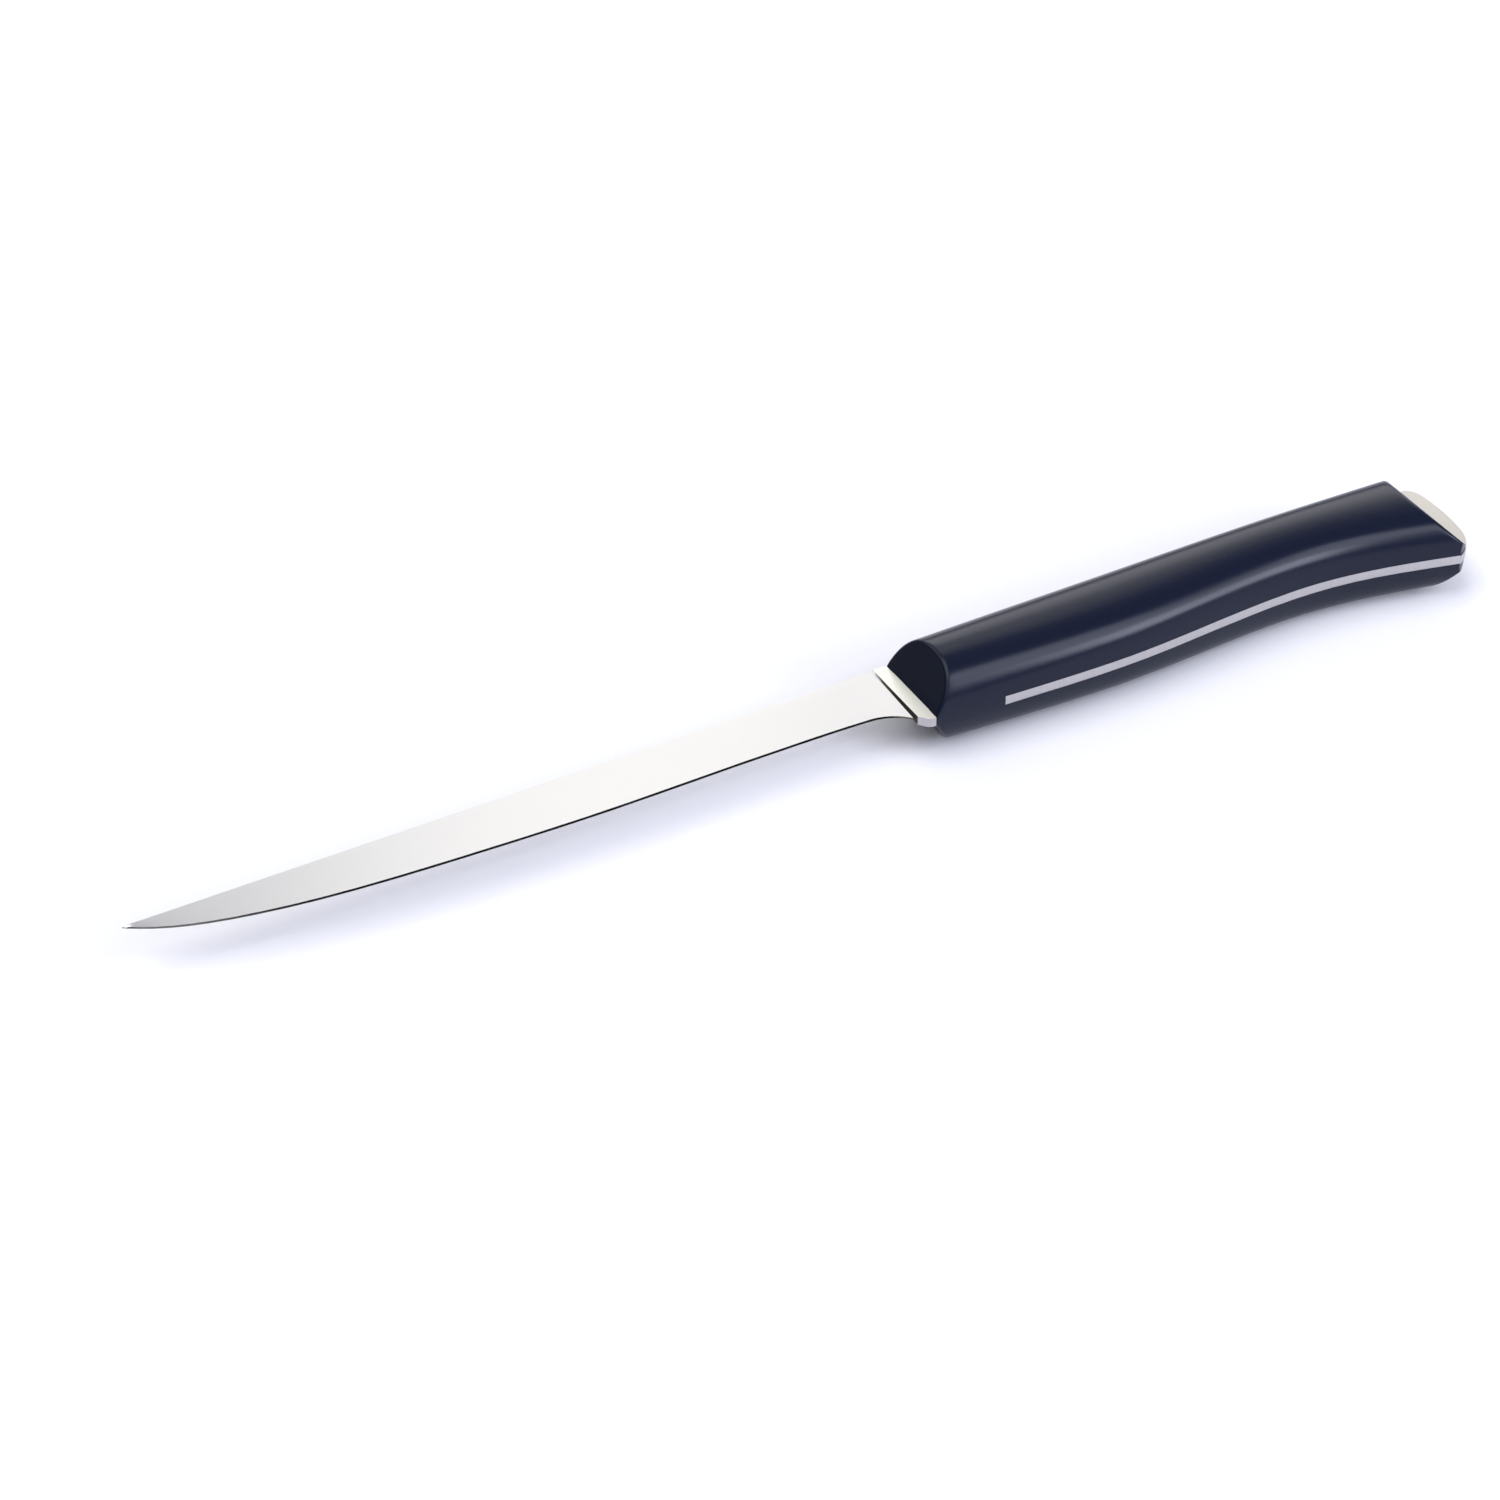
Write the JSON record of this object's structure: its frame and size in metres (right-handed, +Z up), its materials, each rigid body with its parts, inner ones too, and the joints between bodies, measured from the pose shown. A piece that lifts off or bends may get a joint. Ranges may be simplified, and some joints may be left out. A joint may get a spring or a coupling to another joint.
{
  "type": "fillet knife",
  "caption": "Fillet knife with a long narrow flexible steel blade, a full tang that ends in a rounded tail, and a plastic handle moulded round the tang.",
  "frame": {"origin": "centre of the footprint on the surface that the knife lies on, under its lower cheek", "axes": "+X from the tip to the tail, +Y from the cutting edge to the spine, +Z up, square to the flat of the blade"},
  "size_m": [0.3194, 0.0272, 0.0208],
  "materials": {
    "blade_steel": "stainless steel, finely ground along its length and satin",
    "handle_plastic": "dark navy acetal, moulded, satin"
  },
  "bodies": {
    "root": {"blade_and_tang": "blade_steel", "handle": "handle_plastic"}
  },
  "joints": []
}
